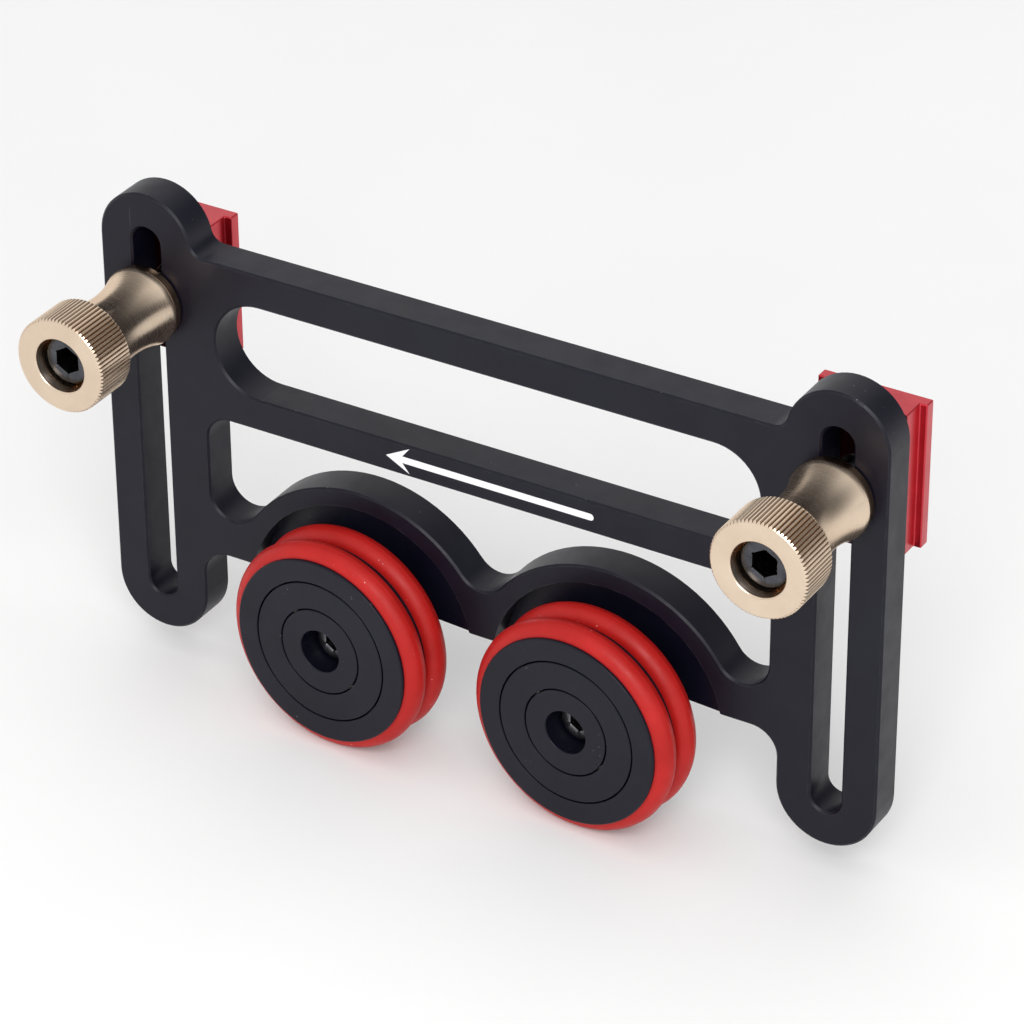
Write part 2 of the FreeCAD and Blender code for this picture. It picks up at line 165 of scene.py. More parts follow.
def finish_piece(name, shape, body, finish, replaced):
    bmesh.ops.remove_doubles(shape, verts=shape.verts, dist=MERGE_DISTANCE)
    bmesh.ops.recalc_face_normals(shape, faces=shape.faces)
    for face in shape.faces:
        face.smooth = True
    for edge in shape.edges:
        edge.smooth = not edge.is_manifold or edge.calc_face_angle() < SHARP_ANGLE
    mesh = bpy.data.meshes.new(name)
    shape.to_mesh(mesh)
    shape.free()
    mesh.materials.append(finish)
    piece = bpy.data.objects.new(name, mesh)
    bpy.context.scene.collection.objects.link(piece)
    evened = piece.modifiers.new("crisp flats", "WEIGHTED_NORMAL")
    evened.keep_sharp = True
    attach(piece, body)
    if replaced:
        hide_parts(replaced)
    print(name, len(mesh.polygons), "faces on", body)
    return piece


# %% [markdown]
# ## Placing shader nodes
# A finish is a small network of nodes. Written out in full, each node takes several lines, so one helper places a
# node, sets its options, and feeds each socket with either a value or another node's output.

# %% Node helpers
def place(tree, kind, sockets=None, **options):
    node = tree.nodes.new(kind)
    for option, choice in options.items():
        setattr(node, option, choice)
    for socket, value in (sockets or {}).items():
        if isinstance(value, bpy.types.NodeSocket):
            tree.links.new(value, node.inputs[socket])
        else:
            node.inputs[socket].default_value = value
    return node


def maths(tree, operation, first, second=0.0):
    return place(tree, "ShaderNodeMath", {0: first, 1: second}, operation=operation).outputs[0]


def spread(tree, value, low, high, to_low=0.0, to_high=1.0):
    """Stretch one range of values over another, and clamp what lies outside."""
    sockets = {"Value": value, "From Min": low, "From Max": high, "To Min": to_low, "To Max": to_high}
    return place(tree, "ShaderNodeMapRange", sockets).outputs["Result"]


def blend(tree, amount, below, above):
    """Mix two colours by an amount."""
    mix = place(tree, "ShaderNodeMix", data_type="RGBA")
    for socket, value in ((0, amount), (6, below), (7, above)):
        if isinstance(value, bpy.types.NodeSocket):
            tree.links.new(value, mix.inputs[socket])
        else:
            mix.inputs[socket].default_value = value
    return mix.outputs[2]


def new_group(name, inputs, output):
    """Start a node group; return its tree, its input sockets by name, and its output node."""
    tree = bpy.data.node_groups.new(name, "ShaderNodeTree")
    for label, value in inputs.items():
        tree.interface.new_socket(label, in_out="INPUT", socket_type="NodeSocketFloat").default_value = value
    tree.interface.new_socket(output, in_out="OUTPUT", socket_type="NodeSocketFloat")
    return tree, tree.nodes.new("NodeGroupInput").outputs, tree.nodes.new("NodeGroupOutput")


def use_group(tree, group, sockets=None):
    return place(tree, "ShaderNodeGroup", sockets, node_tree=group).outputs[0]


def object_coordinates(tree):
    return tree.nodes.new("ShaderNodeTexCoord").outputs["Object"]


# %% [markdown]
# ## Effects that several finishes share
# No shop-made surface is even. Dyed aluminium is a little cloudy, handling leaves pale dust and hairline marks, and
# the dye thins where an edge was knocked; on the black finishes that pale edge is also a painted highlight. Each
# effect is one node group with named inputs, so that the plate, the wheels and the knobs show the same kind of
# wear, each in its own measure.
#
# Cloudiness is soft noise. Its low and high set the range that the values wander in.

# %% Cloudiness
clouds, given, result = new_group("clouds", {"Scale": 60.0, "Low": 0.0, "High": 1.0}, "Value")
soft_noise = place(clouds, "ShaderNodeTexNoise", {"Vector": object_coordinates(clouds), "Scale": given["Scale"],
                                                  "Detail": 4.0, "Roughness": 0.6})
wander = spread(clouds, soft_noise.outputs["Fac"], 0.32, 0.68, given["Low"], given["High"])
clouds.links.new(wander, result.inputs["Value"])

# %% [markdown]
# Dust is many tiny pale specks. A Voronoi pattern divides space into cells with one point in each. A speck is drawn
# round that point, if the cell's random colour says so, and that colour also sets the speck's size. Dust gathers,
# so a slow noise leaves some places clean.

# %% Dust
def speckle(tree, where, given):
    """Round specks: one in some of the cells that space is divided into."""
    cells = place(tree, "ShaderNodeTexVoronoi", {"Vector": where, "Scale": given["Cells per metre"]})
    luck = place(tree, "ShaderNodeSeparateColor", {"Color": cells.outputs["Color"]})
    reach = maths(tree, "MULTIPLY", maths(tree, "MULTIPLY", given["Size"], given["Cells per metre"]), luck.outputs[0])
    inside = maths(tree, "LESS_THAN", cells.outputs["Distance"], reach)
    chosen = maths(tree, "LESS_THAN", luck.outputs[1], given["Share"])
    return maths(tree, "MULTIPLY", inside, chosen)


dust, given, result = new_group("dust", {"Cells per metre": 900.0, "Size": 0.00016, "Share": 0.3}, "Mask")
drifts = place(dust, "ShaderNodeTexNoise", {"Vector": object_coordinates(dust), "Scale": 55.0, "Detail": 3.0})
settled = spread(dust, drifts.outputs["Fac"], 0.44, 0.56)
specks = speckle(dust, object_coordinates(dust), given)
dust.links.new(maths(dust, "MULTIPLY", specks, settled), result.inputs["Mask"])

# %% [markdown]
# Hairline marks are the same specks drawn out fifty times in one direction, which makes short thin scratches.

# %% Hairline marks
hairlines, given, result = new_group("hairlines", {"Cells per metre": 1500.0, "Size": 0.00006, "Share": 0.05}, "Mask")
drawn_out = place(hairlines, "ShaderNodeMapping", {"Vector": object_coordinates(hairlines),
                                                   "Rotation": (0.0, 0.7, 0.5), "Scale": (1.0, 1.0, 0.02)})
hairlines.links.new(speckle(hairlines, drawn_out.outputs[0], given), result.inputs["Mask"])

# %% [markdown]
# Wear shows where a surface bends sharply. The Bevel node gives the normal that a rounded edge would have. Where
# that differs from the true normal there is an edge, and noise decides how much of it was rubbed. On the black
# finishes the pale edge is partly a painted highlight as well.

# %% Edge wear and painted edge highlight
edge_wear_and_painted_highlight, given, result = new_group("edge wear and painted highlight", {"Width": 0.0004, "Rub": 1.0}, "Mask")
rounded = place(edge_wear_and_painted_highlight, "ShaderNodeBevel", {"Radius": given["Width"]}, samples=4)
facing = edge_wear_and_painted_highlight.nodes.new("ShaderNodeNewGeometry").outputs["Normal"]
agreement = place(edge_wear_and_painted_highlight, "ShaderNodeVectorMath", {0: rounded.outputs[0], 1: facing}, operation="DOT_PRODUCT")
bend = maths(edge_wear_and_painted_highlight, "SUBTRACT", 1.0, agreement.outputs["Value"])
rubbed = place(edge_wear_and_painted_highlight, "ShaderNodeTexNoise", {"Vector": object_coordinates(edge_wear_and_painted_highlight), "Scale": 350.0,
                                                 "Detail": 5.0, "Roughness": 0.7})
patchy = spread(edge_wear_and_painted_highlight, rubbed.outputs["Fac"], 0.42, 0.62)
worn = maths(edge_wear_and_painted_highlight, "MULTIPLY", spread(edge_wear_and_painted_highlight, bend, 0.03, 0.22), patchy)
edge_wear_and_painted_highlight.links.new(maths(edge_wear_and_painted_highlight, "MULTIPLY", worn, given["Rub"]), result.inputs["Mask"])

# %% [markdown]
# Tool marks are fine grooves that run round a turned part. The noise reads the stored radius and out instead of
# the place in space, so it changes across the marks and stays the same along them.

# %% Tool marks
tool_marks, given, result = new_group("tool marks", {"Pitch": 0.0001}, "Height")
along = place(tool_marks, "ShaderNodeAttribute", attribute_name="turned")
finer = maths(tool_marks, "DIVIDE", 1.0, given["Pitch"])
scaled = place(tool_marks, "ShaderNodeVectorMath", {0: along.outputs["Vector"], "Scale": finer}, operation="SCALE")
grooves = place(tool_marks, "ShaderNodeTexNoise", {"Vector": scaled.outputs[0], "Scale": 1.0, "Detail": 3.0,
                                                   "Roughness": 0.65})
tool_marks.links.new(grooves.outputs["Fac"], result.inputs["Height"])
print("shared effects:", [group.name for group in bpy.data.node_groups])


# %% [markdown]
# ## Black anodised aluminium
# The plate is milled, bead-blasted and dyed black. Blasting leaves a very fine matt grain, and the dye is so dark
# that nearly all the light it sends back is gloss from the clear oxide on top: strong at a glancing angle, weak
# face on. So the colour is almost black, and the grain and the roughness do the work. Turned black parts share the
# finish, with tool marks in place of some of the grain.

# %% Black finish
def new_finish(name, **constants):
    """A material with its Principled shader; constants go straight on to the shader's sockets."""
    finish = bpy.data.materials.new(name)
    finish.use_nodes = True
    shader = finish.node_tree.nodes["Principled BSDF"]
    for socket, value in constants.items():
        shader.inputs[socket.replace("_", " ")].default_value = value
    return finish, finish.node_tree, shader


def grain(tree, scale, detail=2.0):
    """Fine noise for a surface's own roughness."""
    sockets = {"Vector": object_coordinates(tree), "Scale": scale, "Detail": detail}
    return place(tree, "ShaderNodeTexNoise", sockets).outputs["Fac"]


def raise_bumps(tree, shader, height, distance, strength=1.0, under=None):
    """Feed a height to the shader as a bump of a real depth, on top of another bump if one is given."""
    sockets = {"Height": height, "Distance": distance, "Strength": strength}
    if under:
        sockets["Normal"] = under
    bump = place(tree, "ShaderNodeBump", sockets)
    tree.links.new(bump.outputs[0], shader.inputs["Normal"])
    return bump.outputs[0]


def black_anodised(name, turned, rub):
    finish, tree, shader = new_finish(name, Metallic=0.0, IOR=1.5, Specular_IOR_Level=0.27)
    cloud = use_group(tree, clouds, {"Scale": 70.0})
    dye = blend(tree, cloud, (0.0020, 0.0020, 0.0075, 1), (0.0046, 0.0045, 0.0120, 1))
    specks = use_group(tree, dust, {"Cells per metre": 900.0, "Size": 0.00013, "Share": 0.20})
    wear = use_group(tree, edge_wear_and_painted_highlight, {"Width": 0.0003, "Rub": rub})
    marks = use_group(tree, hairlines)
    scuffed = blend(tree, maths(tree, "MULTIPLY", marks, 0.3), dye, (0.16, 0.16, 0.17, 1))
    # Partly real wear, partly painted highlight: the pale grey along the black edges also stands in for light caught
    # on the chamfers.
    rubbed = blend(tree, wear, scuffed, (0.20, 0.20, 0.21, 1))
    dusty = blend(tree, maths(tree, "MULTIPLY", specks, 0.4), rubbed, (0.36, 0.36, 0.37, 1))
    tree.links.new(dusty, shader.inputs["Base Color"])
    sheen = use_group(tree, clouds, {"Scale": 190.0, "Low": 0.36, "High": 0.46})
    tree.links.new(maths(tree, "ADD", sheen, maths(tree, "MULTIPLY", specks, 0.3)), shader.inputs["Roughness"])
    blasted = raise_bumps(tree, shader, grain(tree, 7000.0), 0.004 * MM, 0.6)
    if turned:
        circles = use_group(tree, tool_marks, {"Pitch": 0.00012})
        raise_bumps(tree, shader, circles, 0.006 * MM, 0.6, blasted)
    return finish


# The plate's higher rub makes its pale edges a painted highlight as well as wear.
milled_black = black_anodised("milled_black", False, 0.28)
turned_black = black_anodised("turned_black", True, 0.12)
print("black finishes:", milled_black.name, turned_black.name)

# %% [markdown]
# ## The plate
# The plate keeps its CAD shape, because every edge, pocket and slot of it is already right. It only needs its
# finish, set in the material slot of the CAD node.

# %% Finish the plate
nodes["guide_plate"].data.materials.clear()
nodes["guide_plate"].data.materials.append(milled_black)
plate_low, plate_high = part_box("guide_plate")
print("plate", [round(size / MM, 1) for size in plate_high - plate_low], "mm")

# %% [markdown]
# ## The feed arrow
# A shallow arrow is engraved in the middle bar and filled with pale paint. Its outline already exists as the floor
# of the engraving, so a copy of the plate is thinned down to that floor, and the floor is raised to make the
# paint. Drawing the arrow again would risk a gap between paint and metal.

# %% Arrow paint
ENGRAVING = 0.15 * MM
PAINT_DEPTH = 0.09 * MM
ENGRAVING_ZONE = Vector((30 * MM, 0, 3.3 * MM))
FLOOR_TOLERANCE = 0.02 * MM


def arrow_paint():
    shape = bmesh.new()
    shape.from_mesh(nodes["guide_plate"].data)
    floor_y = plate_front + ENGRAVING

    def on_floor(face):
        spots = [vert.co for vert in face.verts]
        low = all(abs(spot.y - floor_y) < FLOOR_TOLERANCE for spot in spots)
        return low and all(abs(spot.z) < ENGRAVING_ZONE.z and abs(spot.x) < ENGRAVING_ZONE.x for spot in spots)

    others = [face for face in shape.faces if not on_floor(face)]
    bmesh.ops.delete(shape, geom=others, context="FACES")
    bmesh.ops.remove_doubles(shape, verts=shape.verts, dist=MERGE_DISTANCE)
    tops = verts_in(bmesh.ops.extrude_face_region(shape, geom=shape.faces[:])["geom"])
    bmesh.ops.translate(shape, vec=(0, -PAINT_DEPTH, 0), verts=tops)
    return shape


def paint_finish():
    finish, tree, shader = new_finish("arrow_paint", Metallic=0.0, IOR=1.45)
    cloud = use_group(tree, clouds, {"Scale": 400.0})
    specks = use_group(tree, dust)
    paint = blend(tree, cloud, (0.84, 0.85, 0.86, 1), (0.94, 0.94, 0.95, 1))
    tree.links.new(blend(tree, maths(tree, "MULTIPLY", specks, 0.3), paint, (0.30, 0.30, 0.32, 1)),
                   shader.inputs["Base Color"])
    tree.links.new(use_group(tree, clouds, {"Scale": 500.0, "Low": 0.42, "High": 0.6}), shader.inputs["Roughness"])
    raise_bumps(tree, shader, grain(tree, 2500.0, 4.0), 0.02 * MM, 0.7)
    return finish


finish_piece("feed_arrow_paint", arrow_paint(), "plate", paint_finish(), None)

# %% [markdown]
# ## Wheel hubs
# A hub is a turned cup: bored for the one-way clutch, recessed in front for a cover ring, and grooved twice for the
# tyres. The grooves are drawn as square notches whose bottom corners are rounded almost to a half circle. Spinning
# one outline keeps the seats, the lands between them and the rims truly concentric.

# %% Turn the hubs
SEAM = 0.18 * MM
COVER_SEAM = 0.15 * MM
RIM_EDGE = 0.35 * MM


def tyre_seat(tyre, joint):
    """Outline points of the notch that a tyre lies in, from back to front."""
    bottom, crown, back, front = measure(tyre, joint)
    rounding = 0.49 * (front - back)
    return [(bottom, back, rounding), (bottom, front, rounding)]


def turn_hub(side):
    joint = joints[side + "_wheel_spin"]
    lip, rim, back, front = measure("wheel_hub_" + side, joint)
    recess, recess_back = measure("cover_ring_" + side, joint)[1:3]
    bore, clutch_back = measure("clutch_outer_race_" + side, joint)[1:3]
    outline = [(lip, back, SEAM), (rim, back, RIM_EDGE)]
    for tyre in ("rear_tyre_", "front_tyre_"):
        seat = tyre_seat(tyre + side, joint)
        outline += [(rim, seat[0][1], 0), *seat, (rim, seat[1][1], 0)]
    wall = recess + COVER_SEAM
    outline += [(rim, front, RIM_EDGE), (wall, front, SEAM), (wall, recess_back, 0)]
    outline += [(bore, recess_back, 0), (bore, clutch_back, 0), (lip, clutch_back, SEAM)]
    shape = lathe(outline)
    set_on(shape, joint)
    return shape


for side in SIDES:
    finish_piece("wheel_hub_turned_" + side, turn_hub(side), side + "_wheel", turned_black,
                 "wheel_hub_" + side)

# %% [markdown]
# ## Cover rings and axle sleeves
# The cover ring closes the hub's recess and turns with the wheel. The sleeve's cap stands still in its middle,
# because the sleeve is clamped to the plate and carries the clutch. Both are flush with the wheel's face, so only
# the fine dark lines between them show that some of it turns. The rounded edges on each side of those lines do
# that.

# %% Turn the cover rings and the sleeves
HEAD_CLEARANCE = 0.25 * MM
AXLE_HEAD_HEIGHT = 5.0 * MM
SLEEVE_MOUTH = 0.3 * MM


def turn_cover_ring(side):
    joint = joints[side + "_wheel_spin"]
    inner, outer, back, front = measure("cover_ring_" + side, joint)
    edge = outer - COVER_SEAM
    shape = lathe([(inner, back, 0), (edge, back, 0), (edge, front, SEAM), (inner, front, SEAM)])
    set_on(shape, joint)
    return shape


def turn_sleeve(side):
    joint = joints[side + "_wheel_spin"]
    screw_hole, cap, foot, front = measure("axle_sleeve_" + side, joint)
    body, shoulder, _, clutch_front = measure("clutch_inner_race_" + side, joint)
    cap_back = measure("cover_ring_" + side, joint)[2]
    head, head_top = measure("axle_screw_" + side, joint)[1::2]
    bore = head + HEAD_CLEARANCE
    seat = head_top - AXLE_HEAD_HEIGHT
    shape = lathe([(screw_hole, foot, 0), (body, foot, 0), (body, clutch_front, 0), (shoulder, clutch_front, 0),
                   (shoulder, cap_back, 0), (cap, cap_back, 0), (cap, front, SEAM), (bore, front, SLEEVE_MOUTH),
                   (bore, seat, 0), (screw_hole, seat, 0)])
    set_on(shape, joint)
    return shape


for side in SIDES:
    finish_piece("cover_ring_turned_" + side, turn_cover_ring(side), side + "_wheel",
                 turned_black, "cover_ring_" + side)
    finish_piece("axle_sleeve_turned_" + side, turn_sleeve(side), "plate", turned_black,
                 "axle_sleeve_" + side)


# %% [markdown]
# ## Rubber tyres
# The tyres are moulded rings of soft red rubber. A mould opens along a line, and a trace of it is left as a fine
# raised seam round the ring. The seam is made by rounding one point of the section into three and lifting the
# middle one. Rubber takes up dust more than metal does, and its gloss is weaker.

# %% Rubber finish and tyres
SECTION_STEPS = 48
MOULD_SEAM = 0.16 * MM
SEAM_LIFT = 0.05 * MM


def rubber_finish():
    finish, tree, shader = new_finish("red_rubber_moulded", Metallic=0.0, IOR=1.45, Specular_IOR_Level=0.32)
    cloud = use_group(tree, clouds, {"Scale": 110.0})
    red = blend(tree, cloud, (0.39, 0.0075, 0.006, 1), (0.47, 0.012, 0.010, 1))
    specks = use_group(tree, dust, {"Cells per metre": 1000.0, "Size": 0.00013, "Share": 0.22})
    dusty = blend(tree, maths(tree, "MULTIPLY", specks, 0.7), red, (0.78, 0.45, 0.42, 1))
    tree.links.new(dusty, shader.inputs["Base Color"])
    tree.links.new(use_group(tree, clouds, {"Scale": 260.0, "Low": 0.38, "High": 0.52}), shader.inputs["Roughness"])
    skin = raise_bumps(tree, shader, grain(tree, 3200.0, 3.0), 0.02 * MM, 0.5)
    raise_bumps(tree, shader, use_group(tree, clouds, {"Scale": 500.0}), 0.03 * MM, 0.5, skin)
    return finish


def mould_tyre(tyre, joint):
    bottom, crown, back, front = measure(tyre, joint)
    radius = (front - back) / 2
    shape = bmesh.new()
    place_section = Matrix.Translation((crown - radius, -(front + back) / 2, 0))
    ring = bmesh.ops.create_circle(shape, segments=SECTION_STEPS, radius=radius, matrix=place_section)["verts"]
    outermost = max(ring, key=lambda vert: vert.co.x)
    bmesh.ops.bevel(shape, geom=[outermost], offset=MOULD_SEAM, offset_type="OFFSET", affect="VERTICES",
                    segments=2, profile=0.5, material=-1)
    ridge = max(shape.verts, key=lambda vert: vert.co.x)
    ridge.co.x += SEAM_LIFT
    bmesh.ops.spin(shape, geom=shape.verts[:] + shape.edges[:], cent=(0, 0, 0), axis=(0, 1, 0),
                   angle=math.tau, steps=TURN_STEPS, use_merge=True, use_duplicate=False)
    mark_turning(shape)
    set_on(shape, joint)
    return shape


red_rubber = rubber_finish()
for side in SIDES:
    for place_name in ("front", "rear"):
        cad_tyre = place_name + "_tyre_" + side
        shape = mould_tyre(cad_tyre, joints[side + "_wheel_spin"])
        finish_piece(place_name + "_tyre_moulded_" + side, shape, side + "_wheel", red_rubber, cad_tyre)

# %% [markdown]
# ## Socket screws
# The same kind of screw holds each axle and draws each track block: a cylindrical head with a hexagonal socket, and
# a threaded shank. The head is turned with its top left open. A circle with as many points is pushed out to a
# hexagon, and the two are bridged, which gives the small funnel at the mouth of a real socket. Extruding the
# hexagon makes the walls, and merging one more ring to a point makes the drill's cone at the bottom.
#
# The thread is a ridge wound round the shank by a spin that also moves along the axis.

# %% Screw parts
SOCKET_MOUTH = 0.12 * MM
DRILL_CONE = 0.5
THREAD_ROOT = 0.54
THREAD_STEPS = 48
THREAD_END = 0.3 * MM
THREAD_RUNOUT = 0.4 * MM
HEAD_ROUNDING = 0.07
SOCKET_ROOM = 1.01


def open_edges(shape):
    return [edge for edge in shape.edges if edge.is_boundary]


def grown_verts(shape, edges):
    """Extrude some edges and return the new points."""
    return verts_in(bmesh.ops.extrude_edge_only(shape, edges=edges)["geom"])


def sink_socket(shape, across_flats, top, depth):
    """Sink a hexagonal socket in the open top of a turned head."""
    rim = open_edges(shape)
    flat_down = Matrix.Translation((0, SOCKET_MOUTH - top, 0)) @ Matrix.Rotation(math.radians(90), 4, "X")
    mouth = bmesh.ops.create_circle(shape, segments=TURN_STEPS, radius=across_flats / 2, matrix=flat_down)["verts"]
    sixth = math.tau / 6
    for vert in mouth:
        turn = (math.atan2(vert.co.z, vert.co.x) + sixth / 2) % sixth - sixth / 2
        vert.co.x /= math.cos(turn)
        vert.co.z /= math.cos(turn)
    bmesh.ops.bridge_loops(shape, edges=rim + [edge for edge in shape.edges if edge.is_wire])
    walls = grown_verts(shape, open_edges(shape))
    bmesh.ops.translate(shape, vec=(0, depth - SOCKET_MOUTH, 0), verts=walls)
    cone = grown_verts(shape, open_edges(shape))
    bmesh.ops.pointmerge(shape, verts=cone, merge_co=(0, depth + DRILL_CONE * MM - top, 0))


def wind_thread(shape, radius, pitch, tip, length):
    """Wind a V-shaped ridge round a shank, from its tip outwards."""
    ridge = bmesh.new()
    root = radius - THREAD_ROOT * pitch
    section = [(root, tip), (radius, tip + pitch / 2), (root, tip + 0.98 * pitch)]
    corners = [ridge.verts.new((x, -out, 0)) for x, out in section]
    for corner, follower in zip(corners, corners[1:] + corners[:1]):
        ridge.edges.new((corner, follower))
    turns = int(length / pitch) - 1
    bmesh.ops.spin(ridge, geom=ridge.verts[:] + ridge.edges[:], cent=(0, 0, 0), axis=(0, 1, 0),
                   dvec=(0, -pitch / THREAD_STEPS, 0), angle=math.tau * turns, steps=THREAD_STEPS * turns,
                   use_merge=False, use_duplicate=False)
    bmesh.ops.holes_fill(ridge, edges=open_edges(ridge), sides=3)
    bmesh.ops.recalc_face_normals(ridge, faces=ridge.faces)
    wound = bpy.data.meshes.new("wound_thread")
    ridge.to_mesh(wound)
    ridge.free()
    shape.from_mesh(wound)
    bpy.data.meshes.remove(wound)


def turn_screw(node, joint, pitch, across_flats, thread_length):
    """A socket screw in the size of its CAD node; a head is as high as its thread is thick.

    An M6 thread is 1.2 times as thick as its 5 mm socket, and an M5 thread 1.25 times as thick as its 4 mm one.
    """
    head, tip, top = measure(node, joint)[1:]
    thread = across_flats * 1.2 if across_flats > 4.5 * MM else across_flats * 1.25
    shank = thread / 2
    root = shank - THREAD_ROOT * pitch
    seat = top - thread
    edge = HEAD_ROUNDING * head
    socket = SOCKET_ROOM * across_flats / math.sqrt(3)
    shape = lathe([(0, tip, 0), (root - THREAD_END, tip, 0), (root, tip + THREAD_END, 0),
                   (root, tip + thread_length, 0), (shank, tip + thread_length + THREAD_RUNOUT, 0),
                   (shank, seat, 0), (head, seat, edge), (head, top, 2 * edge), (socket, top, 0)], closed=False)
    sink_socket(shape, across_flats, top, thread / 2)
    bmesh.ops.remove_doubles(shape, verts=shape.verts, dist=MERGE_DISTANCE)
    wind_thread(shape, shank, pitch, tip, thread_length)
    mark_turning(shape)
    set_on(shape, joint)
    return shape


# %% [markdown]
# Two steel finishes serve the screws. The axle screws are zinc, darkened well below bright zinc as painted shade for
# the deep hole they sit in. The clamp screws are black oxide, a thin dark skin on steel that keeps a metal's gloss.
# Both are metals, so their colour is the colour of their reflection, and dust and rubbed edges do the rest.

# %% Steel finishes and screws
def steel(name, dark, light, low_rough, high_rough, rub):
    finish, tree, shader = new_finish(name, Metallic=1.0)
    cloud = use_group(tree, clouds, {"Scale": 300.0})
    skin = blend(tree, cloud, (*dark, 1), (*light, 1))
    wear = use_group(tree, edge_wear_and_painted_highlight, {"Width": 0.0002, "Rub": rub})
    tree.links.new(blend(tree, wear, skin, (0.45, 0.44, 0.42, 1)), shader.inputs["Base Color"])
    sheen = use_group(tree, clouds, {"Scale": 700.0, "Low": low_rough, "High": high_rough})
    tree.links.new(sheen, shader.inputs["Roughness"])
    skin_bump = raise_bumps(tree, shader, grain(tree, 5000.0), 0.006 * MM, 0.5)
    raise_bumps(tree, shader, use_group(tree, tool_marks, {"Pitch": 0.0001}), 0.006 * MM, 0.5, skin_bump)
    return finish


# Painted shade: the zinc's colour is darkened for the deep hole the axle screws sit in.
zinc_plate_painted_shade = steel("zinc_plate_painted_shade", (0.12, 0.12, 0.13), (0.24, 0.24, 0.26), 0.26, 0.40, 0.3)
black_oxide = steel("black_oxide", (0.050, 0.052, 0.060), (0.095, 0.098, 0.110), 0.22, 0.36, 0.4)
ground_steel = steel("ground_steel", (0.46, 0.46, 0.47), (0.62, 0.61, 0.60), 0.20, 0.32, 0.2)
for side in SIDES:
    axle = turn_screw("axle_screw_" + side, joints[side + "_wheel_spin"], 0.8 * MM, 4 * MM, 6 * MM)
    finish_piece("axle_screw_turned_" + side, axle, "plate", zinc_plate_painted_shade, "axle_screw_" + side)
    clamp = turn_screw("clamp_screw_" + side, joints[side + "_knob_turn"], 1 * MM, 5 * MM, 16 * MM)
    finish_piece("clamp_screw_turned_" + side, clamp, side + "_knob", black_oxide,
                 "clamp_screw_" + side)

# %% [markdown]
# ## Clamp knobs
# A knob is turned from aluminium bar, knurled, and anodised a pale gold. Its head carries a straight knurl for
# grip, its waist is a long hollow curve, and its face is counterbored for the screw's head.
#
# The knurl could be made by cutting grooves one by one. Here the whole head is turned with six points to each
# tooth, and the grooves are then pressed in, as a knurling wheel does. A pressed point also slides along the
# chamfer at the head's edge, so each groove runs out there as it does on the real knob.

# %% Turn and knurl the knobs
TEETH = 76
TOOTH = (0, 0, 0, 0.5, 1, 0.5)
GROOVE_DEPTH = 0.38 * MM
KNOB_HEAD_LENGTH = 9.7 * MM
KNOB_EDGE = 0.45 * MM
MOUTH_EDGE = 0.25 * MM
KNOB_RIM = 8.2 * MM
KNOB_WAIST = 6.75 * MM
BORE_CLEARANCE = 0.5 * MM
SCREW_SINK = 2.5 * MM
SCREW_HEAD = 6.0 * MM
FOOT_BAND = 0.35 * MM
FOOT_EDGE = 0.12 * MM
FACE_EDGE = 0.1 * MM
WALL_TOLERANCE = 0.02 * MM


def waist_curve(back, front):
    """Points along the hollow arc between the knob's foot and its head."""
    half = (front - back) / 2
    sag = KNOB_RIM - KNOB_WAIST
    radius = (half ** 2 + sag ** 2) / (2 * sag)
    swing = math.asin(half / radius)
    turns = [swing * (step / 10 - 1) for step in range(1, 20)]
    middle = (front + back) / 2
    return [(KNOB_WAIST + radius * (1 - math.cos(turn)), middle + radius * math.sin(turn), 0) for turn in turns]


def press_knurl(shape, rim, head_back, head_front):
    """Press the grooves of a straight knurl into the head's outer wall, and store how deep each point went."""
    pressed = shape.verts.layers.float.new("pressed")
    middle = (head_back + head_front) / 2
    for vert in shape.verts:
        radius = math.hypot(vert.co.x, vert.co.z)
        if radius > rim - WALL_TOLERANCE:
            sample = round(math.atan2(vert.co.z, vert.co.x) / math.tau * TEETH * len(TOOTH))
            vert[pressed] = TOOTH[sample % len(TOOTH)]
            cut = GROOVE_DEPTH * vert[pressed]
            vert.co.x *= (radius - cut) / radius
            vert.co.z *= (radius - cut) / radius
            vert.co.y += cut if -vert.co.y < middle else -cut


def turn_knob(side):
    joint = joints[side + "_knob_turn"]
    hole, rim, foot, face = measure("clamp_knob_" + side, joint)
    screw_head = measure("clamp_screw_" + side, joint)[1]
    bore = screw_head + BORE_CLEARANCE
    head_back = face - KNOB_HEAD_LENGTH
    seat = face - SCREW_SINK - SCREW_HEAD
    outline = [(hole, foot, 0), (KNOB_RIM, foot, FOOT_EDGE), (KNOB_RIM, foot + FOOT_BAND, 0)]
    outline += waist_curve(foot + FOOT_BAND, head_back)
    outline += [(KNOB_RIM, head_back, 0), (rim - KNOB_EDGE, head_back, 0), (rim, head_back + KNOB_EDGE, 0),
                (rim, face - KNOB_EDGE, 0), (rim - KNOB_EDGE, face, FACE_EDGE), (bore + MOUTH_EDGE, face, FACE_EDGE),
                (bore, face - MOUTH_EDGE, FACE_EDGE), (bore, seat, 0), (hole, seat, 0)]
    shape = lathe(outline, steps=TEETH * len(TOOTH))
    press_knurl(shape, rim, head_back, face)
    set_on(shape, joint)
    return shape
